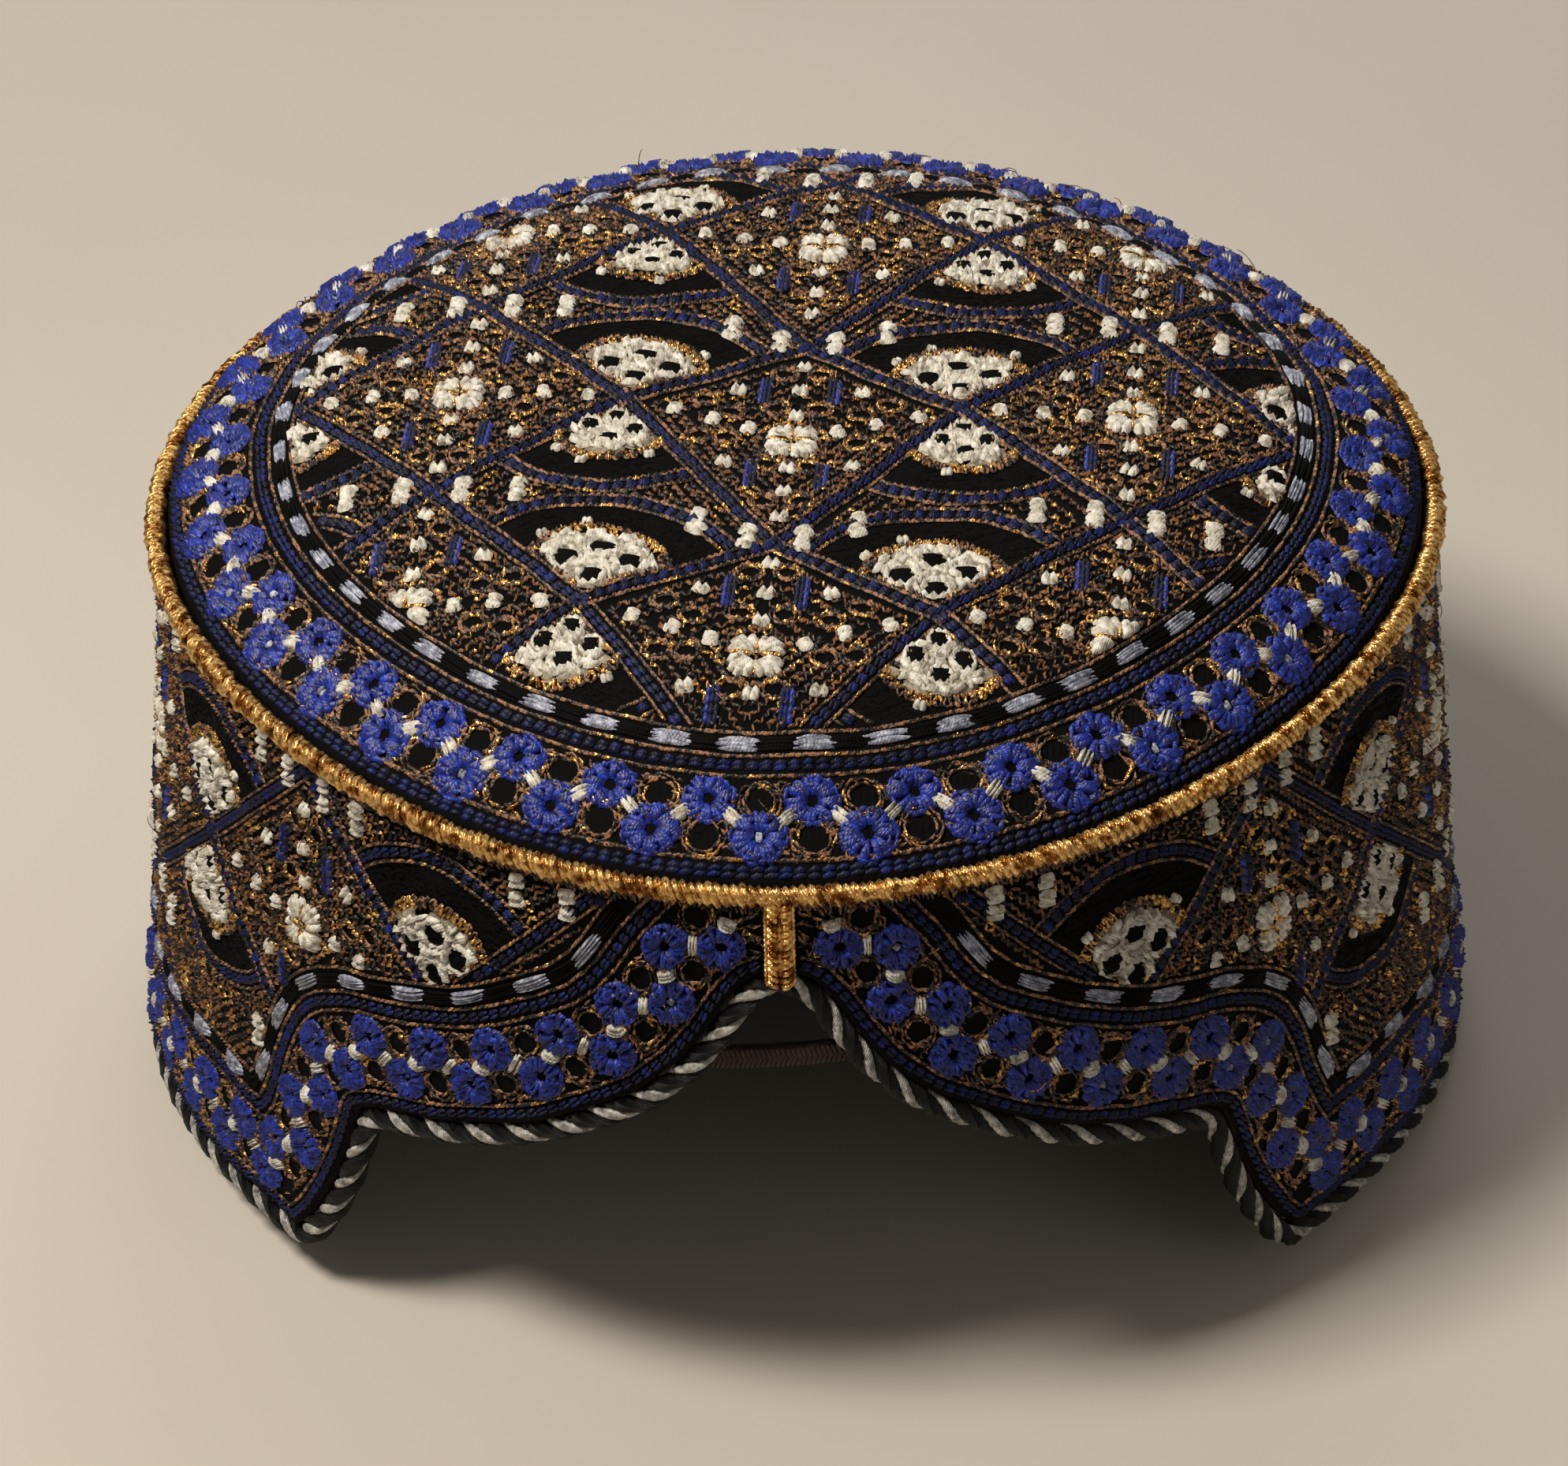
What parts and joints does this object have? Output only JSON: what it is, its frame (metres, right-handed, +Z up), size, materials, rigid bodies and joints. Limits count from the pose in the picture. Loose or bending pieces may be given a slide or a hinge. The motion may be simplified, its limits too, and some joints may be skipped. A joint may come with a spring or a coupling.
{
  "type": "sindhi cap",
  "caption": "Round embroidered cap with a domed crown, a flared side band cut out in a bracket-shaped front arch, a gold seam cord and a twisted rope edge.",
  "frame": {"origin": "under the middle of the cap, on the plane that its lower edge rests on", "axes": "+Z up through the crown, -Y out of the cap's front, +X to the wearer's left"},
  "size_m": [0.1892, 0.184, 0.0999],
  "materials": {
    "crown_cloth": "embroidered cotton, quilted, with metallic thread",
    "band_cloth": "embroidered cotton, quilted, with metallic thread",
    "gold_thread": "couched metallic thread",
    "rope": "twisted black and white cord",
    "strap": "woven narrow strap"
  },
  "bodies": {
    "root": {"crown_top": "crown_cloth", "side_band": "band_cloth", "seam_cord": "gold_thread", "front_tab": "gold_thread", "rope_edging": "rope", "front_strap": "strap"}
  },
  "joints": []
}
